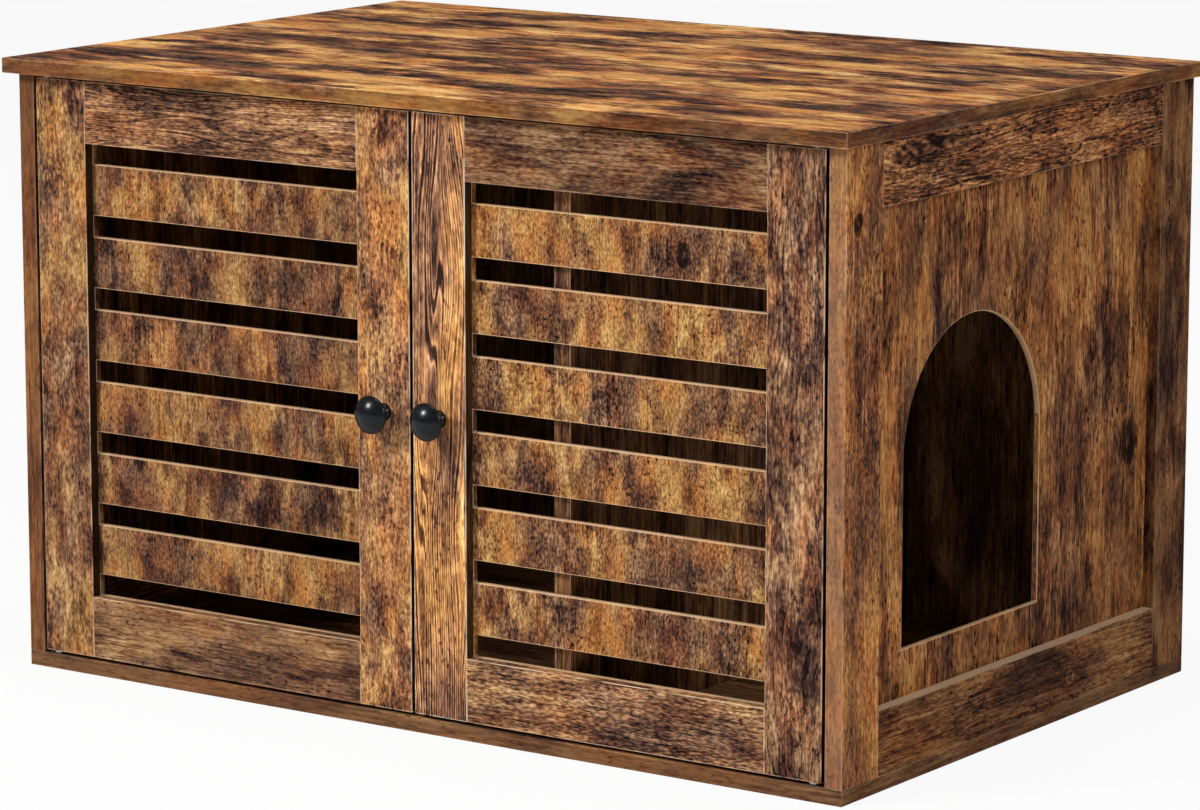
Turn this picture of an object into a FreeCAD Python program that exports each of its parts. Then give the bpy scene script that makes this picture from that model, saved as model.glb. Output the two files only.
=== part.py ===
import FreeCAD, Part
import math
import os
from FreeCAD import Vector

# Cat litter box cabinet: two slatted doors, an arched cat entrance in the right side
# and a partition with a second arched doorway inside. Millimetres. The origin is the
# centre of the footprint on the floor, +X to the right seen from the doors, +Y to the
# back, +Z up.

# ---------------------------------------------------------------- overall size
cabinet_width = 800.0            # top board, left to right
cabinet_depth = 530.0            # top board, front to back
cabinet_height = 500.0
front_overhang = 12.0            # of the top board, past the doors
side_overhang = 7.5              # of the top board, past each side

# ---------------------------------------------------------------- boards
top_thickness = 12.0
base_thickness = 12.0
back_thickness = 12.0
side_thickness = 15.0
door_thickness = 15.0
partition_thickness = 15.0
side_panel_thickness = 5.0
door_panel_thickness = 6.0
edge_break = 0.4                 # chamfer on every board edge

# ---------------------------------------------------------------- framed sides
side_stile_width = 50.0
side_rail_width = 50.0
panel_lap = 8.0                  # panel edge held in the rebate of its frame
panel_play = 0.2                 # gap round the panel edge inside the rebate

# ---------------------------------------------------------------- arched openings
entrance_width = 200.0
entrance_height = 242.0
entrance_sill = 86.0             # above the base board
entrance_setback = 198.0         # middle of the entrance behind the doors' front
doorway_width = 180.0
doorway_height = 240.0
doorway_sill = 86.0
doorway_rear_margin = 40.0       # partition left standing behind the doorway
lobby_width = 240.0              # room between the partition and the entrance side
partition_door_gap = 2.0         # partition's front edge behind the closed doors

# ---------------------------------------------------------------- doors
door_gap = 3.0                   # round and between the doors
door_stile_width = 50.0
door_rail_width = 50.0
slot_count = 7
slot_height = 17.5

# ---------------------------------------------------------------- door pivots
pin_radius = 2.0
pin_embed = 24.0                 # length of pin inside the stile
pin_reach = 7.0                  # length of pin inside the bush
pin_from_edge = 9.0              # pivot axis to the door's outer edge
pin_from_front = 6.0             # pivot axis to the door's front face
pin_play = 0.05                  # running clearance on the radius
collar_radius = 4.5
collar_lift = 0.3                # clearance between collar and bush flange
bush_radius = 3.5
bush_length = 8.5
bush_flange_radius = 5.5
bush_flange = 1.0
fixed_play = 0.05                # clearance on the radius of a fixed pin, dowel or screw
bore_end = 0.5                   # empty length past the end of what a bore holds

# ---------------------------------------------------------------- knobs
knob_radius = 15.0
knob_reach = 25.0
knob_base_radius = 7.0
knob_base_height = 2.0
knob_neck_radius = 5.0
knob_neck_end = 11.0             # where the neck opens into the head
knob_rim_start = 15.5            # rear edge of the rim
knob_rim_end = 19.0              # front edge of the rim
knob_rim_round = 1.0             # the rim swells this much past its two edges
knob_screw_radius = 2.0
knob_screw_bite = 12.0           # thread inside the knob
knob_screw_head_radius = 4.5
knob_screw_head_height = 2.2
knob_screw_head_round = 1.3      # fillet on the screw's domed head

# ---------------------------------------------------------------- magnetic catches
catch_from_middle = 50.0         # middle of the catch, from the cabinet's middle
catch_length = 46.0
catch_depth = 14.0
catch_height = 12.0
magnet_length = 22.0
magnet_depth = 8.0
magnet_height = 7.0
magnet_play = 0.1
catch_air = 0.3                  # magnet face to strike plate, door closed
strike_length = 36.0
strike_height = 12.0
strike_thickness = 1.5
strike_below_top = 1.0           # strike plate's top edge under the door's top edge
small_screw_radius = 1.5
small_screw_head_radius = 2.8
small_screw_head_height = 1.2
catch_screw_pitch = 35.0
catch_screw_bite = 8.0           # thread inside the top board
strike_screw_pitch = 24.0
strike_screw_length = 11.0

# ---------------------------------------------------------------- carcass joints
frame_dowel_radius = 4.0
door_dowel_radius = 3.0
dowel_embed = 20.0               # length of a frame dowel in each piece
dowel_end_chamfer = 0.7
back_dowel_radius = 3.0
back_dowel_in_back = 18.0
back_dowel_in_board = 8.0
back_dowel_margin = 90.0         # from the back board's edge to its dowels
cam_radius = 7.5
cam_depth = 12.0
cam_drop = 34.0                  # cam centre under the top board
cam_play = 0.1
cam_slot_length = 9.0            # screwdriver slot in the cam's face
cam_slot_width = 2.2
cam_slot_depth = 2.5
cam_bolt_radius = 3.5
cam_thread_radius = 2.5
cam_thread_bite = 8.5            # thread inside the top board
cam_from_front = 17.0            # front cams and screws behind the sides' front edge
cam_from_back_board = 10.0       # rear cams and screws in front of the back board
partition_joint_margin = 60.0    # cams and screws from the partition's ends
screw_tip_radius = 0.4           # blunt end of every countersunk screw
base_screw_radius = 2.0
base_screw_length = 45.0
base_screw_head_radius = 4.0
base_screw_head_height = 2.6
back_screw_length = 37.0
back_screw_margin = 110.0        # back board's screws from its top and bottom

# ---------------------------------------------------------------- derived planes
half_width = cabinet_width / 2
front_edge = -cabinet_depth / 2
rear = cabinet_depth / 2
front = front_edge + front_overhang
side_outer = half_width - side_overhang
side_inner = side_outer - side_thickness
floor_top = base_thickness
ceiling = cabinet_height - top_thickness
back_front = rear - back_thickness
door_back = front + door_thickness
door_inner = door_gap / 2
door_outer = side_inner - door_gap
door_bottom = floor_top + door_gap
door_top = ceiling - door_gap
door_middle = (door_bottom + door_top) / 2
partition_right = side_inner - lobby_width
partition_left = partition_right - partition_thickness
partition_middle = (partition_left + partition_right) / 2
partition_front = door_back + partition_door_gap
axis_from_middle = door_outer - pin_from_edge
axis_y = front + pin_from_front
front_joint = front + cam_from_front
rear_joint = back_front - cam_from_back_board
side_joint = (side_inner + side_outer) / 2

UP = Vector(0, 0, 1)
DOWN = Vector(0, 0, -1)
BACKWARD = Vector(0, 1, 0)
FORWARD = Vector(0, -1, 0)
LEFT, RIGHT = -1, 1


# ---------------------------------------------------------------- shared shapes
def block(x, y, z):
    """A plain box between the pairs of planes x, y and z."""
    corner = Vector(min(x), min(y), min(z))
    return Part.makeBox(abs(x[1] - x[0]), abs(y[1] - y[0]), abs(z[1] - z[0]), corner)


def board(x, y, z):
    """A board with its edges broken."""
    shape = block(x, y, z)
    return shape.makeChamfer(edge_break, shape.Edges)


def rod(radius, length, start, direction):
    return Part.makeCylinder(radius, length, start, direction)


def beyond(start, direction, distance):
    return start + Vector(direction) * distance


def hold(pieces, fittings):
    """Cut the seats of the fittings out of the pieces."""
    return [piece.cut(Part.makeCompound(fittings)).removeSplitter() for piece in pieces]


def dowel(radius, start, direction, length):
    """A dowel with chamfered ends, from start along direction."""
    shape = rod(radius, length, start, direction)
    rims = [edge for edge in shape.Edges if isinstance(edge.Curve, Part.Circle)]
    return shape.makeChamfer(dowel_end_chamfer, rims)


def dowel_bore(radius, start, direction, length):
    """The bore that holds a dowel, a little longer at both ends."""
    first = beyond(start, direction, -bore_end)
    return rod(radius + fixed_play, length + 2 * bore_end, first, direction)


def countersunk_screw(radius, head_radius, head_height, length, start, direction, play=0.0, extra=0.0):
    """A screw whose flat head lies at start; play and extra make its bore."""
    head = Part.makeCone(head_radius + play, radius + play, head_height, start, direction)
    shank = rod(radius + play, length - radius + extra, start, direction)
    tip_start = beyond(start, direction, length - radius + extra)
    tip = Part.makeCone(radius + play, screw_tip_radius, radius, tip_start, direction)
    return head.fuse([shank, tip]).removeSplitter()


def pan_screw(radius, head_radius, head_height, head_round, length, start, direction):
    """A screw whose domed head stands behind start and whose shank runs from it."""
    head_start = beyond(start, direction, -head_height)
    head = rod(head_radius, head_height, head_start, direction)
    rims = [edge for edge in head.Edges if isinstance(edge.Curve, Part.Circle)]
    outer = [rim for rim in rims if (rim.Curve.Center - head_start).Length < head_height / 2]
    head = head.makeFillet(head_round, outer)
    return head.fuse(rod(radius, length, start, direction)).removeSplitter()


def arched_hole(width, height, x, middle_y, sill):
    """A round-headed opening through a panel that stands between the planes x."""
    radius = width / 2
    spring = sill + height - radius
    left, right = middle_y - radius, middle_y + radius
    start = Vector(x[0], left, sill)
    foot = Vector(x[0], right, sill)
    spring_right = Vector(x[0], right, spring)
    crown = Vector(x[0], middle_y, spring + radius)
    spring_left = Vector(x[0], left, spring)
    outline = [
        Part.LineSegment(start, foot).toShape(),
        Part.LineSegment(foot, spring_right).toShape(),
        Part.Arc(spring_right, crown, spring_left).toShape(),
        Part.LineSegment(spring_left, start).toShape(),
    ]
    return Part.Face(Part.Wire(outline)).extrude(Vector(x[1] - x[0], 0, 0))


def both(side, near, far):
    """The pair of x planes at distances near and far from the middle, on one side."""
    return (side * near, side * far)


# ---------------------------------------------------------------- framed sides
def side_frame(side):
    """Two stiles, two rails and the thin panel that lies in their rebate."""
    x = both(side, side_inner, side_outer)
    front_inner = front + side_stile_width
    rear_inner = rear - side_stile_width
    rail_top = floor_top + side_rail_width
    rail_bottom = ceiling - side_rail_width

    front_stile = board(x, (front, front_inner), (floor_top, ceiling))
    rear_stile = board(x, (rear_inner, rear), (floor_top, ceiling))
    top_rail = board(x, (front_inner, rear_inner), (rail_bottom, ceiling))
    bottom_rail = board(x, (front_inner, rear_inner), (floor_top, rail_top))

    lap = panel_lap - panel_play
    panel_x = both(side, side_inner, side_inner + side_panel_thickness)
    panel = block(panel_x, (front_inner - lap, rear_inner + lap), (rail_top - lap, rail_bottom + lap))
    rebate = block(panel_x, (front_inner - panel_lap, rear_inner + panel_lap),
                   (rail_top - panel_lap, rail_bottom + panel_lap))

    dowels = []
    bores = []
    for z in (floor_top + side_rail_width / 2, ceiling - side_rail_width / 2):
        for y in (front_inner, rear_inner):
            start = Vector(side * side_joint, y - dowel_embed, z)
            dowels.append(dowel(frame_dowel_radius, start, BACKWARD, 2 * dowel_embed))
            bores.append(dowel_bore(frame_dowel_radius, start, BACKWARD, 2 * dowel_embed))

    frame = hold([front_stile, rear_stile, top_rail, bottom_rail], [rebate] + bores)
    return frame, panel, dowels


def cam_joint(centre_x, face_x, into, y):
    """Cam lock in an upright's face and the bolt that hangs from the top board."""
    bolt_start = Vector(centre_x, y, ceiling - cam_drop)
    thread_start = Vector(centre_x, y, ceiling)
    shaft = rod(cam_bolt_radius, cam_drop, bolt_start, UP)
    bolt = shaft.fuse(rod(cam_thread_radius, cam_thread_bite, thread_start, UP))
    shaft_bore = rod(cam_bolt_radius + fixed_play, cam_drop + bore_end, bolt_start - UP * bore_end, UP)
    thread_bore = rod(cam_thread_radius + fixed_play, cam_thread_bite + bore_end, thread_start, UP)

    face = Vector(face_x, y, ceiling - cam_drop)
    direction = Vector(into, 0, 0)
    cam = rod(cam_radius, cam_depth, face, direction)
    slot = block((face_x, face_x + into * cam_slot_depth),
                 (y - cam_slot_width / 2, y + cam_slot_width / 2),
                 (face.z - cam_slot_length / 2, face.z + cam_slot_length / 2))
    cam = cam.cut(shaft_bore).cut(slot)
    pocket = rod(cam_radius + cam_play, cam_depth + cam_play, face, direction)
    return bolt, cam, [shaft_bore, pocket], thread_bore


# ---------------------------------------------------------------- doors
def door_frame(side):
    """Stiles, rails and slotted panel of one door, hung at its outer edge."""
    y = (front, door_back)
    meeting_edge = door_inner + door_stile_width
    hinge_edge = door_outer - door_stile_width
    rail_top = door_bottom + door_rail_width
    rail_bottom = door_top - door_rail_width

    hinge_stile = board(both(side, hinge_edge, door_outer), y, (door_bottom, door_top))
    meeting_stile = board(both(side, door_inner, meeting_edge), y, (door_bottom, door_top))
    top_rail = board(both(side, meeting_edge, hinge_edge), y, (rail_bottom, door_top))
    bottom_rail = board(both(side, meeting_edge, hinge_edge), y, (door_bottom, rail_top))

    lap = panel_lap - panel_play
    panel_y = (door_back - door_panel_thickness, door_back)
    panel = block(both(side, meeting_edge - lap, hinge_edge + lap), panel_y,
                  (rail_top - lap, rail_bottom + lap))
    rebate = block(both(side, meeting_edge - panel_lap, hinge_edge + panel_lap), panel_y,
                   (rail_top - panel_lap, rail_bottom + panel_lap))

    slat_height = (rail_bottom - rail_top - slot_count * slot_height) / (slot_count - 1)
    slots = []
    for number in range(slot_count):
        slot_bottom = rail_top + number * (slot_height + slat_height)
        slots.append(block(both(side, meeting_edge, hinge_edge), panel_y,
                           (slot_bottom, slot_bottom + slot_height)))
    panel = panel.cut(Part.makeCompound(slots))

    dowels = []
    bores = []
    for z in (door_bottom + door_rail_width / 2, door_top - door_rail_width / 2):
        for edge in (meeting_edge, hinge_edge):
            start = Vector(side * edge - dowel_embed, (front + door_back) / 2, z)
            along = Vector(1, 0, 0)
            dowels.append(dowel(door_dowel_radius, start, along, 2 * dowel_embed))
            bores.append(dowel_bore(door_dowel_radius, start, along, 2 * dowel_embed))

    frame = [hinge_stile, meeting_stile, top_rail, bottom_rail]
    return frame, panel, dowels, [rebate] + bores


def pivot(side, end_z, away):
    """Pin in the end of a hinge stile and the flanged bush in the board it turns in."""
    axis_x = side * axis_from_middle
    stile_end = Vector(axis_x, axis_y, end_z)
    board_face = beyond(stile_end, away, door_gap)
    pin_start = beyond(stile_end, away, -pin_embed)
    pin = rod(pin_radius, pin_embed + door_gap + pin_reach, pin_start, away)
    collar = rod(collar_radius, door_gap - bush_flange - collar_lift, stile_end, away)
    pin = pin.fuse(collar).removeSplitter()
    pin_bore = rod(pin_radius + fixed_play, pin_embed + bore_end, beyond(pin_start, away, -bore_end), away)

    sleeve = rod(bush_radius, bush_length, board_face, away)
    flange_start = beyond(board_face, away, -bush_flange)
    flange = rod(bush_flange_radius, bush_flange, flange_start, away)
    running_bore = rod(pin_radius + pin_play, bush_flange + pin_reach + bore_end, flange_start, away)
    bush = sleeve.fuse(flange).cut(running_bore).removeSplitter()
    seat = rod(bush_radius, bush_length, board_face, away)
    return pin, pin_bore, bush, seat


def knob(side):
    """A round-headed knob, turned about the axis of its screw."""
    x = side * (door_inner + door_stile_width / 2)

    def point(radius, out):
        return Vector(x + radius, front - out, door_middle)

    waist_out = (knob_base_height + knob_neck_end) / 2
    rim = knob_radius - knob_rim_round
    rim_middle = (knob_rim_start + knob_rim_end) / 2
    dome_rise = knob_reach - knob_rim_end
    dome_radius = (rim ** 2 + dome_rise ** 2) / (2 * dome_rise)
    half_angle = math.asin(rim / dome_radius) / 2
    dome_middle = point(dome_radius * math.sin(half_angle),
                        knob_reach - dome_radius * (1 - math.cos(half_angle)))
    profile = [
        Part.LineSegment(point(0, 0), point(knob_base_radius, 0)).toShape(),
        Part.LineSegment(point(knob_base_radius, 0), point(knob_base_radius, knob_base_height)).toShape(),
        Part.Arc(point(knob_base_radius, knob_base_height), point(knob_neck_radius, waist_out),
                 point(knob_base_radius, knob_neck_end)).toShape(),
        Part.LineSegment(point(knob_base_radius, knob_neck_end), point(rim, knob_rim_start)).toShape(),
        Part.Arc(point(rim, knob_rim_start), point(knob_radius, rim_middle),
                 point(rim, knob_rim_end)).toShape(),
        Part.Arc(point(rim, knob_rim_end), dome_middle, point(0, knob_reach)).toShape(),
        Part.LineSegment(point(0, knob_reach), point(0, 0)).toShape(),
    ]
    body = Part.Face(Part.Wire(profile)).revolve(point(0, 0), BACKWARD, 360)
    screw_start = Vector(x, door_back, door_middle)
    length = door_thickness + knob_screw_bite
    screw = pan_screw(knob_screw_radius, knob_screw_head_radius, knob_screw_head_height,
                      knob_screw_head_round, length, screw_start, FORWARD)
    bore = rod(knob_screw_radius + fixed_play, length + bore_end, screw_start, FORWARD)
    return body.cut(bore), screw, bore


def catch(side):
    """Catch under the top board, its magnet, its screws and the door's strike plate."""
    middle = side * catch_from_middle
    face = door_back + strike_thickness + catch_air
    x = (middle - catch_length / 2, middle + catch_length / 2)
    housing = board(x, (face, face + catch_depth), (ceiling - catch_height, ceiling))
    magnet_middle = ceiling - catch_height / 2
    pocket = block((middle - magnet_length / 2 - magnet_play, middle + magnet_length / 2 + magnet_play),
                   (face, face + magnet_depth + magnet_play),
                   (magnet_middle - magnet_height / 2 - magnet_play,
                    magnet_middle + magnet_height / 2 + magnet_play))
    magnet = block((middle - magnet_length / 2, middle + magnet_length / 2),
                   (face, face + magnet_depth),
                   (magnet_middle - magnet_height / 2, magnet_middle + magnet_height / 2))
    screws = []
    bores = []
    for shift in (-catch_screw_pitch / 2, catch_screw_pitch / 2):
        start = Vector(middle + shift, face + catch_depth / 2, ceiling - catch_height)
        size = (small_screw_radius, small_screw_head_radius, small_screw_head_height,
                catch_height + catch_screw_bite, start, UP)
        screws.append(countersunk_screw(*size))
        bores.append(countersunk_screw(*size, play=fixed_play, extra=bore_end))
    housing = housing.cut(Part.makeCompound([pocket] + bores))
    return housing, magnet, screws, bores


def strike(side):
    """Steel plate on the back of a door's top rail, with its two screws."""
    middle = side * catch_from_middle
    top = door_top - strike_below_top
    plate = block((middle - strike_length / 2, middle + strike_length / 2),
                  (door_back, door_back + strike_thickness), (top - strike_height, top))
    screws = []
    bores = []
    for shift in (-strike_screw_pitch / 2, strike_screw_pitch / 2):
        start = Vector(middle + shift, door_back + strike_thickness, top - strike_height / 2)
        size = (small_screw_radius, small_screw_head_radius, small_screw_head_height,
                strike_screw_length, start, FORWARD)
        screws.append(countersunk_screw(*size))
        bores.append(countersunk_screw(*size, play=fixed_play, extra=bore_end))
    return plate.cut(Part.makeCompound(bores)), screws, bores


# ---------------------------------------------------------------- carcass
def base_screw(x, y, play=0.0, extra=0.0):
    return countersunk_screw(base_screw_radius, base_screw_head_radius, base_screw_head_height,
                             base_screw_length, Vector(x, y, 0), UP, play, extra)


def build():
    nodes = {}
    sides = {LEFT: "left", RIGHT: "right"}

    top = board((-half_width, half_width), (front_edge, rear), (ceiling, cabinet_height))
    base = board((-side_outer, side_outer), (front, rear), (0, base_thickness))
    back = board((-side_inner, side_inner), (back_front, rear), (floor_top, ceiling))
    partition = board((partition_left, partition_right), (partition_front, back_front),
                      (floor_top, ceiling))
    doorway_middle = back_front - doorway_rear_margin - doorway_width / 2
    partition = partition.cut(arched_hole(doorway_width, doorway_height,
                                          (partition_left, partition_right),
                                          doorway_middle, floor_top + doorway_sill))

    # Screws from below, under the sides, the partition and the back board.
    partition_joints = (partition_front + partition_joint_margin, back_front - partition_joint_margin)
    base_places = [(side * side_joint, y) for side in sides for y in (front_joint, rear_joint)]
    base_places += [(partition_middle, y) for y in partition_joints]
    base_places += [(side * side_inner / 2, (back_front + rear) / 2) for side in sides]
    base_bores = [base_screw(x, y, fixed_play, bore_end) for x, y in base_places]
    nodes["base_screws"] = [base_screw(x, y) for x, y in base_places]

    # Cam bolts hang from the top board into the sides and the partition.
    cams = []
    cam_bolts = []
    upright_bores = []
    top_bores = []
    for side in sides:
        for y in (front_joint, rear_joint):
            bolt, cam, bores, thread = cam_joint(side * side_joint, side * side_inner, side, y)
            cams.append(cam)
            cam_bolts.append(bolt)
            upright_bores += bores
            top_bores.append(thread)
    for y in partition_joints:
        bolt, cam, bores, thread = cam_joint(partition_middle, partition_left, RIGHT, y)
        cams.append(cam)
        cam_bolts.append(bolt)
        upright_bores += bores
        top_bores.append(thread)
    nodes["cam_locks"] = cams
    nodes["cam_bolts"] = cam_bolts

    # Dowels between the back board and what it meets.
    back_dowels = []
    back_bores = []
    back_middle = (back_front + rear) / 2
    length = back_dowel_in_back + back_dowel_in_board
    for side in sides:
        for z in (floor_top + back_dowel_margin, ceiling - back_dowel_margin):
            start = Vector(side * (side_inner - back_dowel_in_back), back_middle, z)
            back_dowels.append(dowel(back_dowel_radius, start, Vector(side, 0, 0), length))
            back_bores.append(dowel_bore(back_dowel_radius, start, Vector(side, 0, 0), length))
        start = Vector(side * (side_inner - back_dowel_margin), back_middle, ceiling - back_dowel_in_back)
        back_dowels.append(dowel(back_dowel_radius, start, UP, length))
        back_bores.append(dowel_bore(back_dowel_radius, start, UP, length))
    nodes["back_dowels"] = back_dowels

    # Screws through the back board into the partition.
    back_screw = (base_screw_radius, base_screw_head_radius, base_screw_head_height, back_screw_length)
    back_places = [Vector(partition_middle, rear, z)
                   for z in (floor_top + back_screw_margin, ceiling - back_screw_margin)]
    nodes["back_screws"] = [countersunk_screw(*back_screw, place, FORWARD) for place in back_places]
    back_screw_bores = [countersunk_screw(*back_screw, place, FORWARD, fixed_play, bore_end)
                        for place in back_places]

    # Framed sides: the entrance is cut in the right panel.
    frame_dowels = []
    for side, name in sides.items():
        frame, panel, dowels = side_frame(side)
        frame_dowels += dowels
        frame = hold(frame, base_bores + upright_bores + back_bores)
        piece_names = ("front_stile", "rear_stile", "top_rail", "bottom_rail")
        for piece_name, piece in zip(piece_names, frame):
            nodes[name + "_side_" + piece_name] = piece
        if side == RIGHT:
            panel = panel.cut(arched_hole(entrance_width, entrance_height,
                                          (side_inner, side_inner + side_panel_thickness),
                                          front + entrance_setback, floor_top + entrance_sill))
        nodes[name + "_side_panel"] = panel
    nodes["side_frame_dowels"] = frame_dowels

    # Doors, each with its pins, knob and strike plate.
    bushes = []
    bush_seats = {UP.z: [], DOWN.z: []}
    catch_housings = []
    catch_magnets = []
    catch_screws = []
    catch_bores = []
    for side, name in sides.items():
        frame, panel, dowels, frame_bores = door_frame(side)
        pins = []
        pin_bores = []
        for end_z, away in ((door_top, UP), (door_bottom, DOWN)):
            pin, pin_bore, bush, seat = pivot(side, end_z, away)
            pins.append(pin)
            pin_bores.append(pin_bore)
            bushes.append(bush)
            bush_seats[away.z].append(seat)
        knob_body, knob_screw, knob_bore = knob(side)
        plate, strike_screws, strike_bores = strike(side)
        frame = hold(frame, frame_bores + pin_bores + [knob_bore] + strike_bores)
        piece_names = ("hinge_stile", "meeting_stile", "top_rail", "bottom_rail")
        for piece_name, piece in zip(piece_names, frame):
            nodes[name + "_door_" + piece_name] = piece
        nodes[name + "_door_slatted_panel"] = panel
        nodes[name + "_door_dowels"] = dowels
        nodes[name + "_door_pivot_pins"] = pins
        nodes[name + "_door_knob"] = knob_body
        nodes[name + "_door_knob_screw"] = knob_screw
        nodes[name + "_door_strike_plate"] = plate
        nodes[name + "_door_strike_screws"] = strike_screws

        housing, magnet, screws, bores = catch(side)
        catch_housings.append(housing)
        catch_magnets.append(magnet)
        catch_screws += screws
        catch_bores += bores
    nodes["pivot_bushes"] = bushes
    nodes["catch_housings"] = catch_housings
    nodes["catch_magnets"] = catch_magnets
    nodes["catch_screws"] = catch_screws

    nodes["top_board"] = hold([top], top_bores + back_bores + catch_bores + bush_seats[UP.z])[0]
    nodes["base_board"] = hold([base], base_bores + bush_seats[DOWN.z])[0]
    nodes["back_board"] = hold([back], base_bores + back_bores + back_screw_bores)[0]
    nodes["partition"] = hold([partition], base_bores + upright_bores + back_screw_bores)[0]
    return nodes


os.makedirs("parts", exist_ok=True)
for node, solids in build().items():
    shape = Part.makeCompound(solids) if isinstance(solids, list) else solids
    shape.exportStep("parts/" + node + ".step")
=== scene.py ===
# Cat litter box cabinet in a rustic brown wood print. Metres in the cabinet's own frame:
# +X to the right seen from the doors, +Y to the back, +Z up, floor at zero.

import math

import bpy
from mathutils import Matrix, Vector


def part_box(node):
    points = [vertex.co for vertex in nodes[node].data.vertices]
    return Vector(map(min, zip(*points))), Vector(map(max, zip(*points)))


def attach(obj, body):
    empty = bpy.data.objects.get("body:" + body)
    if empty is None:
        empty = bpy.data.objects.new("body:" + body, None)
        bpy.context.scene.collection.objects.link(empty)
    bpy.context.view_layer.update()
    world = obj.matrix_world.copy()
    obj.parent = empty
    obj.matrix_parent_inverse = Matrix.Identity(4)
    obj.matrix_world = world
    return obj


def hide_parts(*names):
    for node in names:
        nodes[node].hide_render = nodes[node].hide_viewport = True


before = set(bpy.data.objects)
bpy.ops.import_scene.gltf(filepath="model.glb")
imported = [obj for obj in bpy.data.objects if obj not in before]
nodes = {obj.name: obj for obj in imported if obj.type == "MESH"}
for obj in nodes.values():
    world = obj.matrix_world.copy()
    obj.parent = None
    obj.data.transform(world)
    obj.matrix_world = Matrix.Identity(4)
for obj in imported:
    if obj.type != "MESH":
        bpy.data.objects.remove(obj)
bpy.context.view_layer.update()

MM = 0.001
WHITE = (1.0, 1.0, 1.0, 1.0)


# ---------------------------------------------------------------- finishes, written as expressions
def colour(red, green, blue, shade=1.0, warmth=0.0):
    """A paint-chart colour (0 to 255) as the shader wants it, times a shade and warmed."""
    def linear(level):
        level = level / 255
        return level / 12.92 if level <= 0.04045 else ((level + 0.055) / 1.055) ** 2.4
    levels = (linear(red) * (1 + warmth), linear(green), linear(blue) * (1 - warmth))
    return tuple(min(1.0, level * shade) for level in levels) + (1.0,)


class Value:
    """A socket of a finish. Arithmetic on it adds Math nodes."""

    def __init__(self, finish, socket):
        self.finish = finish
        self.socket = socket

    def math(self, operation, *values):
        return self.finish.node("ShaderNodeMath", {"operation": operation}, values)

    def __add__(self, other):
        return self.math("ADD", self, other)

    def __radd__(self, other):
        return self.math("ADD", other, self)

    def __sub__(self, other):
        return self.math("SUBTRACT", self, other)

    def __rsub__(self, other):
        return self.math("SUBTRACT", other, self)

    def __mul__(self, other):
        return self.math("MULTIPLY", self, other)

    def __rmul__(self, other):
        return self.math("MULTIPLY", other, self)

    def __truediv__(self, other):
        return self.math("DIVIDE", self, other)

    def lesser(self, other):
        return self.math("MINIMUM", self, other)

    def greater(self, other):
        return self.math("MAXIMUM", self, other)

    def size(self):
        return self.math("ABSOLUTE", self)

    def root(self):
        return self.math("SQRT", self)

    def wave(self):
        return self.math("SINE", self)

    def step(self, low, high):
        """0 below low, 1 above high, smooth between; falls instead where low is above high."""
        return self.finish.node(
            "ShaderNodeMapRange", {"interpolation_type": "SMOOTHSTEP", "clamp": True},
            {"Value": self, "From Min": low, "From Max": high, "To Min": 0.0, "To Max": 1.0})


class Finish:
    """One material and the nodes in it."""

    def __init__(self, name):
        self.material = bpy.data.materials.new(name)
        self.clear(self.material)
        self.place = self.node("ShaderNodeTexCoord", {}, {}, "Object")

    def clear(self, owner):
        """Start an empty node tree in a material or a world."""
        owner.use_nodes = True
        self.tree = owner.node_tree
        self.tree.nodes.clear()

    def node(self, kind, settings, inputs, output=0):
        made = self.tree.nodes.new(kind)
        for name, setting in settings.items():
            if name == "stops":
                ramp = made.color_ramp
                while len(ramp.elements) < len(setting):
                    ramp.elements.new(0.5)
                for element, (position, stop) in zip(ramp.elements, setting):
                    element.position = position
                    element.color = stop
            else:
                setattr(made, name, setting)
        pairs = inputs.items() if isinstance(inputs, dict) else enumerate(inputs)
        for name, value in pairs:
            if isinstance(value, Value):
                self.tree.links.new(value.socket, made.inputs[name])
            else:
                made.inputs[name].default_value = value
        return Value(self, made.outputs[output]) if made.outputs else None

    def axis(self, vector, letter):
        return self.node("ShaderNodeSeparateXYZ", {}, [vector], letter)

    def blend(self, mask, first, second, kind="MIX"):
        """Colour first where mask is 0 and second where it is 1."""
        settings = {"data_type": "RGBA", "blend_type": kind, "clamp_factor": True}
        return self.node("ShaderNodeMix", settings, {0: mask, 6: first, 7: second}, 2)

    def cloud(self, place, scale, shift, detail=2.0, roughness=0.5):
        """Noise around 0.5; scale has one figure per axis, in blotches per metre."""
        placed = self.node("ShaderNodeMapping", {}, {"Vector": place, "Location": shift, "Scale": scale})
        return self.node("ShaderNodeTexNoise", {"noise_dimensions": "3D"},
                         {"Vector": placed, "Scale": 1.0, "Detail": detail, "Roughness": roughness})

    def relief(self, height, depth, strength=1.0):
        return self.node("ShaderNodeBump", {}, {"Height": height, "Distance": depth, "Strength": strength})

    def seen_directly(self):
        """1 for rays from the camera, straight or through something clear."""
        straight = self.node("ShaderNodeLightPath", {}, {}, "Is Camera Ray")
        through = self.node("ShaderNodeLightPath", {}, {}, "Is Transmission Ray")
        return straight.greater(through)

    def surface(self, **sockets):
        """The shader and the output; sockets are named with underscores for spaces."""
        inputs = {name.replace("_", " "): value for name, value in sockets.items()}
        shader = self.node("ShaderNodeBsdfPrincipled", {}, inputs)
        self.node("ShaderNodeOutputMaterial", {}, [shader])
        return self.material


# ---------------------------------------------------------------- the wood print
AXES = {"X": 0, "Y": 1, "Z": 2}

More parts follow.
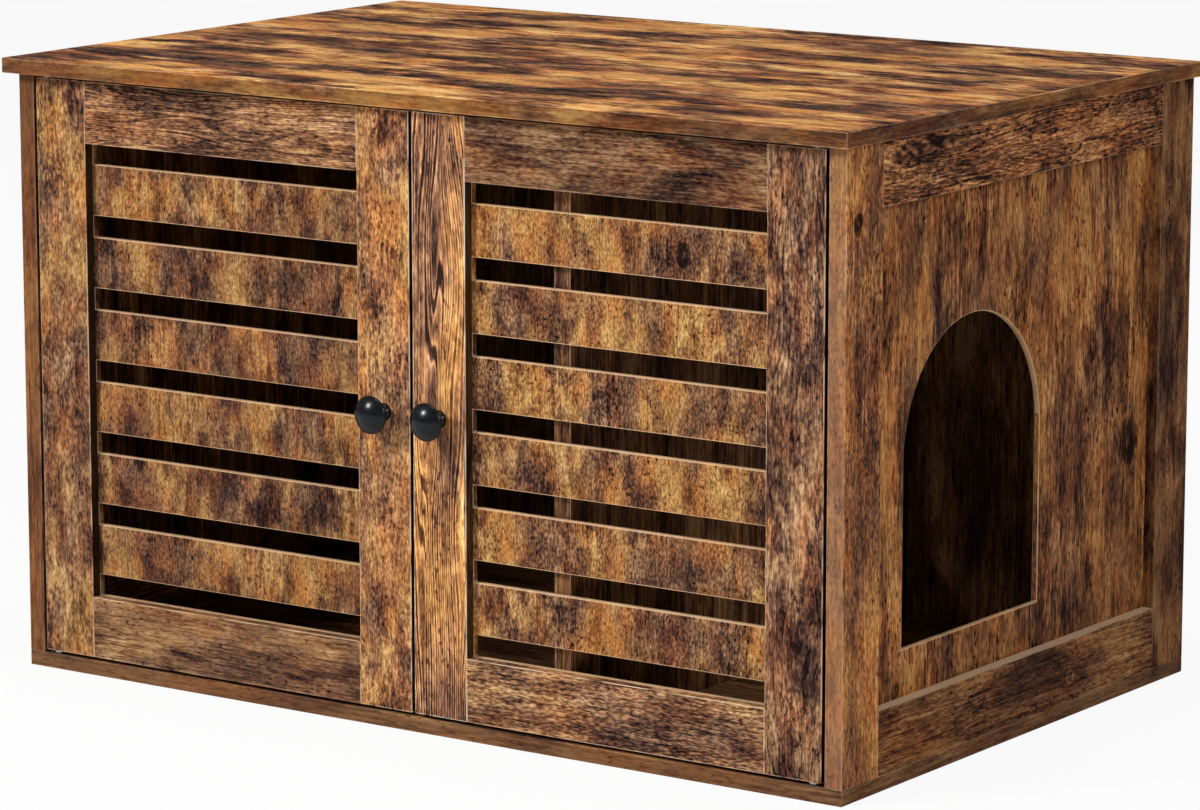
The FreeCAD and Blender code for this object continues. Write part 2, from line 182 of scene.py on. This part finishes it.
PRINT_TONES = [                     # from the darkest grain to the palest
    (0.00, (27, 17, 14)), (0.15, (60, 39, 31)), (0.30, (95, 65, 49)), (0.45, (130, 91, 64)),
    (0.60, (165, 122, 88)), (0.75, (193, 152, 110)), (0.90, (214, 177, 134)), (1.00, (230, 198, 160)),
]
ASH_TINT = (206, 202, 226)          # grey smoked areas
HONEY_TINT = (255, 243, 196)        # golden areas
RUSSET_TINT = (255, 224, 208)       # reddish areas
# Pale edge colour: for worn edges and paler cut faces, and for painted highlight on lit narrow faces.
WORN_EDGE_AND_HIGHLIGHT = (228, 196, 162)
PRINT_SHINE = 0.05                  # specular level of the satin laminate
PRINT_ROUGHNESS = 0.54
PRINT_RELIEF = 0.25 * MM
MIDDLE_TONE = 0.53
WORN_WIDTH = 0.9 * MM               # of the rubbed band along an edge
FIGURE_SPACING = 5.0 * MM           # between arcs of late wood

# Sizes of the marks in the print, in millimetres across and along the grain.
PATCH = (44, 80)
SMUDGE = (14, 25)
STREAK = (2.6, 46)
MOTTLE = (4.6, 8.0)
FIBRE = (2.0, 6.5)
GRIT = (1.5, 3.4)
LIVELY_AREA = (46, 85)
VEIN = (4.6, 40)
PORE_CLUSTER = (19, 36)
FIGURE_DRIFT = (26, 105)
FIGURE_AREA = (26, 70)
SMOKE = (24, 44)
PORE = (2.2, 3.4)
CRACK = (1.9, 52)
CRACK_AREA = (24, 80)
RUSSET_AREA = (19, 38)
RUB_MARK = (5, 16)
KNOT_RIPPLE = (6, 9)
GRAIN_DRIFT = (38, 120)

# How far each kind of mark moves the tone where the board shows it in full.
PATCH_TONE = 0.24
SMUDGE_TONE = 0.72
FLECK_TONE = 0.27
STREAK_TONE = 0.8
GRIT_TONE = 0.13
VEIN_TONE = 0.16
SMOKE_TONE = 0.19
PORE_TONE = 0.45
CRACK_TONE = 0.6
CHECK_TONE = 0.4
RING_TONE = 0.26


class WoodPrint(Finish):
    """The rustic print on one board, laid along the board's grain."""

    def __init__(self, name, grain, seed, reach, bend, edge_strips):
        super().__init__(name)
        self.low, self.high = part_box(name)
        self.grain = grain
        self.seed = seed
        self.reach = reach
        sizes = self.high - self.low
        self.face = min(AXES, key=lambda letter: sizes[AXES[letter]])
        self.across = next(letter for letter in AXES if letter not in (grain, self.face))
        self.layer = 0
        straight = self.turned_ends() if edge_strips else self.place
        self.bent = self.bend(straight, bend)

    def grained(self, size, detail=2.0, roughness=0.5, place=None):
        """Noise with blotches of about that size, across and along the grain."""
        across, along = size
        self.layer += 1
        scale = [1 / (across * MM)] * 3
        scale[AXES[self.grain]] = 1 / (along * self.reach * MM)
        shift = (self.seed * 3.7 + self.layer * 11.3, self.seed * 5.9 - self.layer * 7.1, self.seed * 2.3)
        return self.cloud(place or self.bent, scale, shift, detail, roughness)

    def off_middle(self, letter):
        """How far each point is from the board's middle along an axis, and half the board's size."""
        low, high = self.low[AXES[letter]], self.high[AXES[letter]]
        return (self.axis(self.place, letter) - (low + high) / 2).size(), (high - low) / 2

    def turned_ends(self):
        """Coordinates whose grain runs along the edge strip on the board's ends."""
        off, half = self.off_middle(self.grain)
        strip = off.step(half - 0.5 * MM, half - 0.45 * MM)
        parts = {letter: self.axis(self.place, letter) for letter in AXES}
        parts[self.grain], parts[self.across] = parts[self.across], parts[self.grain]
        swapped = self.node("ShaderNodeCombineXYZ", {}, [parts[letter] for letter in AXES])
        return self.node("ShaderNodeMix", {"data_type": "VECTOR"}, {0: strip, 4: self.place, 5: swapped}, 1)

    def bend(self, place, amount):
        """Let the grain wander sideways by up to about that many millimetres."""
        drift = self.grained(GRAIN_DRIFT, 1.0, 0.5, place) - 0.5
        sideways = [0.0, 0.0, 0.0]
        sideways[AXES[self.across]] = 2 * amount * MM
        moved = self.node("ShaderNodeVectorMath", {"operation": "SCALE"}, {0: sideways, "Scale": drift})
        return self.node("ShaderNodeVectorMath", {"operation": "ADD"}, [place, moved])

    def edges(self, width):
        """1 on the board's long and short edges, 0 a little way in."""
        gaps = []
        for letter in AXES:
            off, half = self.off_middle(letter)
            gaps.append(half - off)
        first, second, third = gaps
        nearest_two = first.lesser(second).greater(first.greater(second).lesser(third))
        return nearest_two.step(width, 0.3 * width)

    def main_face(self):
        """1 on the board's two broad faces, 0 on its narrow ones."""
        off, half = self.off_middle(self.face)
        return off.step(half - 0.7 * MM, half - 0.3 * MM)

    def from_middle(self, middle):
        """How far across and along the grain each point is from a place on the board."""
        return (self.axis(self.place, self.across) - middle[0],
                self.axis(self.place, self.grain) - middle[1])

    def ground(self, contrast, speckle, streaky, crisp):
        """The plain print, as a tone from 0 (dark) to 1 (pale)."""
        self.patches = self.grained(PATCH, 3.0, 0.55).step(0.38, 0.62) - 0.5
        smudges = self.grained(SMUDGE, 4.0, 0.62) - 0.5
        self.streaks = self.grained(STREAK, 4.0, 0.66) - 0.5
        mottle = self.grained(MOTTLE, 4.0, 0.66)
        self.fibre = self.grained(FIBRE)
        flecked = (mottle * 0.6 + self.fibre * 0.4).step(0.30, 0.70) - 0.5
        grit = self.grained(GRIT, 1.0).step(0.36, 0.64) - 0.5
        lively = self.grained(LIVELY_AREA).step(0.38, 0.62) * 0.8 + 0.55
        veins = (self.grained(VEIN) - 0.5).size().step(0.035, 0.0)
        marks = (smudges * (SMUDGE_TONE * contrast) + flecked * (FLECK_TONE * speckle)
                 + self.streaks * (STREAK_TONE * streaky))
        return (MIDDLE_TONE + self.patches * (PATCH_TONE * contrast) + lively * marks
                + grit * (GRIT_TONE * crisp) - veins * (VEIN_TONE * streaky))

    def flowing_figure(self, amount):
        """Dark flowing arcs of late wood, in areas."""
        drift = self.grained(FIGURE_DRIFT, 1.0, 0.4)
        line = self.axis(self.bent, self.across) / FIGURE_SPACING + drift * 9.0
        ridges = (line * (2 * math.pi)).wave()
        shown = self.grained(FIGURE_AREA, 1.0).step(0.64 - 0.34 * amount, 0.60)
        return (ridges * 0.09 - ridges.step(0.35, 0.95) * 0.26) * (amount * shown)

    def knot(self, middle, across, along):
        """The change of tone round a knot of that many millimetres."""
        u, v = self.from_middle(middle)
        u, v = u / (across * MM), v / (along * MM)
        ripple = self.grained(KNOT_RIPPLE) * 0.9 - 0.45
        out = (u * u + v * v).root() + ripple
        heart = out.step(0.5, 0.15) * 0.2 - out.step(1.15, 0.55) * 0.42
        return heart + (out * 13.0).wave() * out.step(1.7, 0.9) * 0.06

    def drying_check(self, middle, half_length):
        """1 in a short split along the grain."""
        aside, along = self.from_middle(middle)
        ends = along.size().step(half_length * MM, 0.6 * half_length * MM)
        return aside.size().step(1.1 * MM, 0.5 * MM) * ends

    def ring_mark(self, middle):
        """1 on a small printed ring."""
        u, v = self.from_middle(middle)
        out = (u * u + v * v).root()
        return out.step(6.5 * MM, 5.7 * MM) * out.step(3.6 * MM, 4.4 * MM)


def wood(name, grain, seed, shade=1.0, contrast=1.0, ash=0.5, honey=0.5, figure=0.3, pores=0.6,
         warmth=0.0, cracks=0.3, bend=4.0, reach=1.0, speckle=1.0, streaky=0.6, crisp=1.0, knots=(),
         checks=(), rings=(), russet=0.5, edge_strips=False, strip_painted_shade=1.0, pale_strips_and_highlight=0.0,
         worn=0.8, rubbed_and_highlit=False):
    """The print of one board. Most figures say how much of that mark or tint the board shows;
    knots, checks and rings have places across and along the grain, in metres."""
    board = WoodPrint(name, grain, seed, reach, bend, edge_strips)
    tone = board.ground(contrast, speckle, streaky, crisp)
    clusters = board.grained(PORE_CLUSTER)
    if figure:
        tone = tone + board.flowing_figure(figure)
    smoke = board.grained(SMOKE, 5.0, 0.64).step(0.50 - 0.03 * ash, 0.62 - 0.03 * ash)
    tone = tone - smoke * (SMOKE_TONE * ash)
    pore_marks = board.grained(PORE, 1.0).step(0.60, 0.68) * clusters.step(0.40, 0.60)
    tone = tone - pore_marks * (PORE_TONE * pores)
    crack_lines = board.grained(CRACK, 2.0, 0.45).step(0.66, 0.74)
    crack_marks = crack_lines * board.grained(CRACK_AREA, 1.0).step(0.42, 0.6)
    tone = tone - crack_marks * (CRACK_TONE * cracks)
    for middle, across, along in knots:
        tone = tone + board.knot(middle, across, along)
    for middle, half_length in checks:
        tone = tone - board.drying_check(middle, half_length) * CHECK_TONE
    for middle in rings:
        tone = tone + board.ring_mark(middle) * RING_TONE
    # Cut faces paler: partly rubbed edges, partly a painted highlight of light from above on upward faces
    # such as the slats' tops.
    if rubbed_and_highlit:
        tone = tone * 0.4 + 0.62
    has_strips = strip_painted_shade < 1 or pale_strips_and_highlight > 0
    if has_strips:
        broad = board.main_face()
        tone = tone * (broad * 0.5 + 0.5) + (1 - broad) * 0.25

    stops = [(position, colour(*chip, shade=shade, warmth=warmth)) for position, chip in PRINT_TONES]
    tinted = board.node("ShaderNodeValToRGB", {"stops": stops}, [tone])
    golden = (board.patches + 0.5) * honey
    tinted = board.blend(golden, tinted, colour(*HONEY_TINT), "MULTIPLY")
    tinted = board.blend(smoke * ash, tinted, colour(*ASH_TINT), "MULTIPLY")
    reddish = board.grained(RUSSET_AREA, 3.0).step(0.42, 0.62) * russet
    tinted = board.blend(reddish, tinted, colour(*RUSSET_TINT), "MULTIPLY")
    pale = colour(*WORN_EDGE_AND_HIGHLIGHT, shade=shade)
    # Cut faces mixed towards the pale colour: rubbing, and a painted highlight.
    if rubbed_and_highlit:
        tinted = board.blend(0.45, tinted, pale)
    if has_strips:
        # Narrow faces made paler: a pale edge tone, and on the side's bottom rail a painted highlight of
        # light from above.
        tinted = board.blend((1 - broad) * pale_strips_and_highlight, tinted, colour(*WORN_EDGE_AND_HIGHLIGHT))
        # Painted shade: the narrow faces are darkened by the strip_painted_shade figure.
        painted_shade_chip = (strip_painted_shade, strip_painted_shade, strip_painted_shade, 1.0)
        tinted = board.blend(1 - broad, tinted, painted_shade_chip, "MULTIPLY")
    if worn:
        rub_marks = board.grained(RUB_MARK, place=board.place).step(0.3, 0.6)
        tinted = board.blend(board.edges(WORN_WIDTH) * rub_marks * worn, tinted, pale)

    sheen = PRINT_ROUGHNESS - (tone - 0.5) * 0.16 + pore_marks * 0.15
    depth = board.streaks * 0.6 + board.fibre * 0.5 - pore_marks * 0.7 - crack_marks * 0.9
    bump = board.relief(depth, PRINT_RELIEF, 0.55)
    return board.surface(Base_Color=tinted, Roughness=sheen, Normal=bump, Specular_IOR_Level=PRINT_SHINE)


# ---------------------------------------------------------------- plain finishes
def black_lacquer():
    """Satin black lacquer with a faint orange peel."""
    finish = Finish("knob_lacquer")
    peel = finish.cloud(finish.place, (900, 900, 900), (4.0, 1.0, 7.0), 1.0)
    dust = finish.cloud(finish.place, (260, 260, 260), (9.0, 2.0, 3.0), 3.0)
    shade = finish.blend(dust.step(0.35, 0.75), colour(7, 9, 13), colour(14, 18, 24))
    bump = finish.relief(peel, 0.05 * MM, 0.4)
    return finish.surface(Base_Color=shade, Roughness=0.2 + dust * 0.1, Normal=bump, Specular_IOR_Level=0.3)


def zinc_plate():
    """Zinc-plated steel with soft blotches."""
    finish = Finish("zinc_plate")
    blotches = finish.cloud(finish.place, (350, 350, 350), (3.0, 8.0, 1.0), 3.0)
    brushing = finish.cloud(finish.place, (200, 5200, 5200), (1.0, 5.0, 2.0), 2.0)
    shade = finish.blend(blotches.step(0.3, 0.7), colour(176, 176, 172), colour(198, 198, 193))
    bump = finish.relief(brushing, 0.03 * MM, 0.4)
    return finish.surface(Base_Color=shade, Metallic=1.0, Roughness=0.26 + blotches * 0.16, Normal=bump)


def beech():
    """Fluted dowel wood with fine rays."""
    finish = Finish("dowel_beech")
    rays = finish.cloud(finish.place, (700, 700, 700), (6.0, 3.0, 2.0), 3.0)
    shade = finish.blend(rays.step(0.3, 0.7), colour(190, 150, 108), colour(216, 180, 138))
    bump = finish.relief(rays, 0.1 * MM, 0.5)
    return finish.surface(Base_Color=shade, Roughness=0.62 + rays * 0.1, Normal=bump)


def moulded_plastic(name, dark, light):
    """Moulded plastic with a fine spark-eroded grain."""
    finish = Finish(name)
    grain = finish.cloud(finish.place, (2600, 2600, 2600), (2.0, 2.0, 5.0), 2.0)
    clouding = finish.cloud(finish.place, (90, 90, 90), (7.0, 1.0, 4.0), 2.0)
    shade = finish.blend(clouding.step(0.3, 0.7), dark, light)
    bump = finish.relief(grain, 0.04 * MM, 0.6)
    return finish.surface(Base_Color=shade, Roughness=0.42 + grain * 0.12, Normal=bump)


def magnet_iron():
    """Sintered magnet, dark and grainy."""
    finish = Finish("magnet_iron")
    grit = finish.cloud(finish.place, (1500, 1500, 1500), (5.0, 5.0, 1.0), 3.0)
    shade = finish.blend(grit.step(0.3, 0.7), colour(66, 66, 68), colour(98, 98, 100))
    bump = finish.relief(grit, 0.06 * MM, 0.6)
    return finish.surface(Base_Color=shade, Metallic=0.6, Roughness=0.45 + grit * 0.2, Normal=bump)


# ---------------------------------------------------------------- boards and their prints
# The side boards are warmed and most door boards cooled: painted shade and light, deepening the colour of
# the shaded sides and paling that of the lit doors.
LEFT_SIDE = dict(reach=2.0, speckle=0.8, streaky=1.3, warmth=0.14, worn=0.35)
DOOR_RAIL = dict(grain="X", reach=1.6, speckle=0.75, streaky=1.2)
SHADE_PAINTED_STILE = dict(grain="Z", strip_painted_shade=0.1)     # narrow faces painted near black: painted shade on the recess walls and in the gaps round the doors

BOARDS = {
    "top_board": dict(grain="X", seed=3, shade=1.16, contrast=2.2, ash=0.25, honey=1.0, figure=0.1,
                      pores=0.5, cracks=1.0, bend=6, reach=1.7, edge_strips=True, worn=0.2, streaky=1.2,
                      warmth=0.05, strip_painted_shade=0.55, russet=0.9, crisp=1.2),
    "base_board": dict(grain="X", seed=5, shade=0.85, ash=0.3, edge_strips=True, reach=2.2,
                       speckle=0.7, streaky=1.3, strip_painted_shade=0.8, worn=0.1),
    # back_board and partition get a low shade: painted shade of the closed interior seen through the slots
    # and the arch.
    "back_board": dict(grain="Z", seed=7, shade=0.7, reach=2.4, speckle=0.7, streaky=1.4),
    "partition": dict(grain="Z", seed=9, shade=0.7, reach=2.2, speckle=0.6, streaky=1.4),

    "left_side_front_stile": dict(LEFT_SIDE, grain="Z", seed=12, shade=0.8, strip_painted_shade=0.8),
    "left_side_rear_stile": dict(LEFT_SIDE, grain="Z", seed=13, shade=0.9),
    "left_side_top_rail": dict(LEFT_SIDE, grain="Y", seed=14, shade=0.9, figure=0.5),
    "left_side_bottom_rail": dict(LEFT_SIDE, grain="Y", seed=15, shade=0.85),
    "left_side_panel": dict(grain="Z", seed=16, shade=0.95, reach=2.4, cracks=0.7, speckle=0.7,
                            streaky=1.4, contrast=1.4, warmth=0.1),

    # On the right side the shade falls from the front stile to the rear stile: painted shade of light
    # falling off towards the rear, over the boards' own tones.
    "right_side_front_stile": dict(grain="Z", seed=22, shade=1.1, honey=0.9, reach=1.5, streaky=0.8,
                                   contrast=0.9, warmth=0.1, worn=0.35, russet=0.7, strip_painted_shade=0.92,
                                   crisp=1.6, pores=0.9, bend=7, knots=[((-0.237, 0.43), 7, 9)],
                                   pale_strips_and_highlight=0.1),
    "right_side_rear_stile": dict(grain="Z", seed=23, shade=0.55, ash=0.8, reach=1.5, speckle=0.8,
                                  streaky=0.8, contrast=1.2, warmth=0.1, worn=0.35),
    "right_side_top_rail": dict(grain="Y", seed=24, shade=1.08, figure=1.3, pores=0.9, bend=10,
                                reach=2.0, speckle=0.8, streaky=1.0, contrast=1.2, warmth=0.14,
                                worn=0.35, rings=[(0.452, -0.133)], russet=0.6, crisp=2.4),
    # Its upward ledge is painted pale: a painted highlight of light from above.
    "right_side_bottom_rail": dict(grain="Y", seed=25, shade=0.62, figure=0.4, reach=2.0, speckle=0.8,
                                   streaky=1.3, warmth=0.14, rings=[(0.032, 0.082)], crisp=1.4,
                                   pale_strips_and_highlight=0.85),
    "right_side_panel": dict(grain="Z", seed=26, shade=0.9, reach=1.8, ash=0.6, honey=0.8, cracks=1.2,
                             knots=[((0.185, 0.203), 17, 20), ((0.125, 0.288), 8, 15)], streaky=0.9,
                             contrast=1.15, warmth=0.12, russet=0.7, crisp=1.6, bend=9, pores=0.9),

    "left_door_hinge_stile": dict(SHADE_PAINTED_STILE, seed=32, shade=1.04, honey=0.9, figure=0.2,
                                  pores=0.4, reach=1.1, warmth=-0.07, crisp=1.8, russet=0.8),
    "left_door_meeting_stile": dict(SHADE_PAINTED_STILE, seed=33, shade=1.34, ash=0.3, figure=0.4,
                                    reach=1.1, warmth=-0.04, crisp=1.8, honey=0.9, russet=0.8),
    "left_door_top_rail": dict(DOOR_RAIL, seed=34, shade=1.12, figure=1.5, honey=0.3, ash=0.3, bend=6,
                               crisp=1.6, russet=0.6),
    "left_door_bottom_rail": dict(DOOR_RAIL, seed=35, shade=0.94, contrast=0.8, figure=0.5,
                                  warmth=-0.07),
    "left_door_slatted_panel": dict(grain="Z", seed=36, shade=0.92, honey=0.9, pores=0.7, ash=0.7,
                                    speckle=1.1, warmth=-0.04, crisp=1.6, russet=0.85),

    "right_door_hinge_stile": dict(SHADE_PAINTED_STILE, seed=42, shade=1.15, ash=0.9, honey=0.1,
                                   figure=1.2, bend=7, reach=1.3, speckle=0.9, streaky=0.8,
                                   warmth=-0.06, russet=0.8, contrast=0.85, crisp=1.8),
    "right_door_meeting_stile": dict(SHADE_PAINTED_STILE, seed=43, shade=2.2, contrast=1.1, honey=1.0,
                                     figure=2.4, ash=0.1, bend=9, reach=2.2, speckle=0.4, streaky=0.5,
                                     crisp=1.2, russet=0.0),
    "right_door_top_rail": dict(DOOR_RAIL, seed=44, shade=0.66, contrast=0.7, honey=0.1,
                                pores=0.3, russet=0.8, crisp=1.6),
    "right_door_bottom_rail": dict(DOOR_RAIL, seed=45, shade=1.32, ash=0.6, figure=0.9, warmth=-0.08,
                                   crisp=2.4, russet=0.6),
    "right_door_slatted_panel": dict(grain="Z", seed=46, shade=1.06, contrast=1.2, honey=1.0, pores=0.9,
                                     knots=[((0.245, 0.395), 7, 11)], ash=0.6, speckle=1.15,
                                     warmth=-0.04, crisp=2.0, russet=0.85,
                                     checks=[((0.231, 0.395), 14)]),
}


def dress(node, material):
    """Give a piece its one finish."""
    mesh = node.data
    mesh.materials.clear()
    mesh.materials.append(material)


for board_name, character in BOARDS.items():
    dress(nodes[board_name], wood(board_name, **character))

FITTINGS = {
    zinc_plate: ["base_screws", "back_screws", "cam_locks", "cam_bolts", "catch_screws",
                 "left_door_pivot_pins", "left_door_knob_screw", "left_door_strike_plate",
                 "left_door_strike_screws", "right_door_pivot_pins", "right_door_knob_screw",
                 "right_door_strike_plate", "right_door_strike_screws"],
    beech: ["back_dowels", "side_frame_dowels", "left_door_dowels", "right_door_dowels"],
    magnet_iron: ["catch_magnets"],
}
for make_finish, node_names in FITTINGS.items():
    material = make_finish()
    for node_name in node_names:
        dress(nodes[node_name], material)
dress(nodes["pivot_bushes"], moulded_plastic("bush_nylon", colour(48, 36, 29), colour(62, 48, 39)))
dress(nodes["catch_housings"], moulded_plastic("catch_brown", colour(84, 56, 38), colour(104, 72, 50)))


# ---------------------------------------------------------------- knobs
KNOB_BASE_RADIUS = 7 * MM
KNOB_BASE_HEIGHT = 2 * MM
KNOB_WAIST_RADIUS = 5 * MM
KNOB_NECK_END = 11 * MM
KNOB_RIM_START = 15.5 * MM
KNOB_RIM_END = 19 * MM
KNOB_RIM_ROUND = 1 * MM


def knob_profile(radius, reach):
    """Rings from the door outwards, each a radius and a distance from the door."""
    rings = [(KNOB_BASE_RADIUS, 0.6 * KNOB_BASE_HEIGHT)]
    waist_steps, rim_steps, dome_steps = 10, 8, 14
    for number in range(waist_steps + 1):
        share = number / waist_steps
        hollow = (KNOB_BASE_RADIUS - KNOB_WAIST_RADIUS) * math.sin(math.pi * share)
        rings.append((KNOB_BASE_RADIUS - hollow,
                      KNOB_BASE_HEIGHT + (KNOB_NECK_END - KNOB_BASE_HEIGHT) * share))
    rim = radius - KNOB_RIM_ROUND
    for number in range(rim_steps + 1):
        share = number / rim_steps
        rings.append((rim + KNOB_RIM_ROUND * math.sin(math.pi * share),
                      KNOB_RIM_START + (KNOB_RIM_END - KNOB_RIM_START) * share))
    rise = reach - KNOB_RIM_END
    dome_radius = (rim ** 2 + rise ** 2) / (2 * rise)
    full_angle = math.asin(rim / dome_radius)
    for number in range(1, dome_steps):
        angle = full_angle * (1 - number / dome_steps)
        rings.append((dome_radius * math.sin(angle), reach - dome_radius * (1 - math.cos(angle))))
    return rings


def turned_knob(side, finish):
    """One round-headed knob, drawn out ring by ring from a disc on the door."""
    cad_name = side + "_door_knob"
    low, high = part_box(cad_name)
    middle = Vector(((low.x + high.x) / 2, high.y, (low.z + high.z) / 2))
    bpy.ops.object.select_all(action="DESELECT")
    bpy.ops.mesh.primitive_circle_add(vertices=72, radius=KNOB_BASE_RADIUS, fill_type="NGON",
                                      location=middle, rotation=(math.radians(90), 0, 0))
    knob = bpy.context.object
    knob.name = side + "_knob"
    bpy.ops.object.transform_apply(location=True, rotation=True, scale=True)
    bpy.ops.object.mode_set(mode="EDIT")
    bpy.ops.mesh.select_mode(type="FACE")
    bpy.ops.mesh.select_all(action="SELECT")
    last_radius, last_out = KNOB_BASE_RADIUS, 0.0
    for radius, out in knob_profile((high.x - low.x) / 2, high.y - low.y):
        bpy.ops.mesh.extrude_region_move(TRANSFORM_OT_translate={"value": (0, last_out - out, 0)})
        ratio = radius / last_radius
        bpy.ops.transform.resize(value=(ratio, 1, ratio), center_override=(middle.x, middle.y, middle.z))
        last_radius, last_out = radius, out
    bpy.ops.mesh.select_all(action="SELECT")
    bpy.ops.mesh.normals_make_consistent(inside=False)
    bpy.ops.object.mode_set(mode="OBJECT")
    bpy.ops.object.shade_smooth_by_angle(angle=math.radians(40))
    dress(knob, finish)
    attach(knob, side + "_door")
    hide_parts(cad_name)


lacquer = black_lacquer()
for side in ("left", "right"):
    turned_knob(side, lacquer)


# ---------------------------------------------------------------- eased edges
EASED_EDGE = 0.7 * MM


def eased(node_name, body):
    """The panel again with its cut edges rounded and made paler, partly as rubbed edges and partly as a
    painted highlight of light from above on their upward faces.
    """
    source = nodes[node_name]
    copy = bpy.data.objects.new(node_name + "_eased", source.data.copy())
    bpy.context.scene.collection.objects.link(copy)
    bpy.ops.object.select_all(action="DESELECT")
    bpy.context.view_layer.objects.active = copy
    copy.select_set(True)
    bpy.ops.object.mode_set(mode="EDIT")
    bpy.ops.mesh.select_all(action="SELECT")
    bpy.ops.mesh.remove_doubles(threshold=0.01 * MM)
    bpy.ops.mesh.dissolve_limited(angle_limit=math.radians(1))
    bpy.ops.object.mode_set(mode="OBJECT")
    ease = copy.modifiers.new("ease", "BEVEL")
    ease.width = EASED_EDGE
    ease.segments = 2
    ease.limit_method = "ANGLE"
    ease.angle_limit = math.radians(50)
    bpy.ops.object.modifier_apply(modifier=ease.name)
    copy.data.materials.clear()
    copy.data.materials.append(source.data.materials[0])
    copy.data.materials.append(wood(node_name, rubbed_and_highlit=True, **BOARDS[node_name]))
    # Broad faces keep the print; the cut faces get the paler print, partly rubbed and partly painted
    # highlight.
    for face in copy.data.polygons:
        broad = max(abs(face.normal.x), abs(face.normal.y)) > 0.999
        face.material_index = 0 if broad else 1
    bpy.ops.object.shade_smooth_by_angle(angle=math.radians(40))
    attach(copy, body)
    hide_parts(node_name)


eased("left_door_slatted_panel", "left_door")
eased("right_door_slatted_panel", "right_door")
eased("right_side_panel", "root")
eased("partition", "root")


# ---------------------------------------------------------------- floor, light, camera
FLOOR_WHITE_SHARE = 0.92            # the rest of the floor's look is its shadow
AMBIENT_STRENGTH = 0.25


def studio_floor():
    """Pale floor that is white to the camera and keeps a soft shadow."""
    finish = Finish("studio_floor")
    matt = finish.node("ShaderNodeBsdfDiffuse", {}, {"Color": (0.8, 0.8, 0.8, 1.0)})
    white = finish.node("ShaderNodeEmission", {}, {"Color": WHITE, "Strength": 1.0})
    shown = finish.seen_directly() * FLOOR_WHITE_SHARE
    mixed = finish.node("ShaderNodeMixShader", {}, {0: shown, 1: matt, 2: white})
    finish.node("ShaderNodeOutputMaterial", {}, [mixed])
    return finish.material


class Surroundings(Finish):
    """The world's nodes, written in the same way as a material's."""

    def __init__(self, name):
        self.world = bpy.data.worlds.new(name)
        self.clear(self.world)


def studio_world():
    """Soft light from all round, and pure white behind the cabinet."""
    studio = Surroundings("studio")
    ambient = studio.node("ShaderNodeBackground", {}, {"Color": WHITE, "Strength": AMBIENT_STRENGTH})
    backdrop = studio.node("ShaderNodeBackground", {}, {"Color": WHITE, "Strength": 1.0})
    mixed = studio.node("ShaderNodeMixShader", {}, {0: studio.seen_directly(), 1: ambient, 2: backdrop})
    studio.node("ShaderNodeOutputWorld", {}, [mixed])
    return studio.world


bpy.ops.object.select_all(action="DESELECT")
bpy.ops.mesh.primitive_plane_add(size=14.0)
floor = bpy.context.object
floor.name = "studio_floor"
floor.data.materials.append(studio_floor())
bpy.context.scene.world = studio_world()


def lamp(name, place, aim, size, power):
    """A square soft box at place, turned to aim."""
    light = bpy.data.lights.new(name, "AREA")
    light.shape = "SQUARE"
    light.size = size
    light.energy = power
    box = bpy.data.objects.new(name, light)
    bpy.context.scene.collection.objects.link(box)
    box.location = place
    box.rotation_euler = (Vector(aim) - Vector(place)).to_track_quat("-Z", "Y").to_euler()


cabinet_middle = (0.0, 0.0, 0.25)
lamp("front_soft_box", (-1.3, -2.6, 2.1), cabinet_middle, 0.6, 80)
lamp("side_soft_box", (2.2, -0.75, 1.3), (0.4, -0.05, 0.25), 0.7, 13)
lamp("overhead_soft_box", (0.1, -0.2, 3.0), (0.0, 0.0, 0.5), 1.4, 22)

camera_place = (2.3142, -3.3083, 0.9749)
camera_turn = 34.978               # degrees to the left of straight at the doors
camera_pitch = 10.601              # degrees down
focal_share = 5080 / 1200          # focal length over the picture's width
sensor_width = 36.0

camera_data = bpy.data.cameras.new("camera")
camera_data.sensor_width = sensor_width
camera_data.lens = focal_share * sensor_width
camera_data.clip_end = 60.0
camera = bpy.data.objects.new("camera", camera_data)
bpy.context.scene.collection.objects.link(camera)
camera.location = camera_place
camera.rotation_euler = (math.radians(90 - camera_pitch), 0.0, math.radians(camera_turn))
bpy.context.scene.camera = camera
bpy.context.scene.view_settings.view_transform = "Standard"
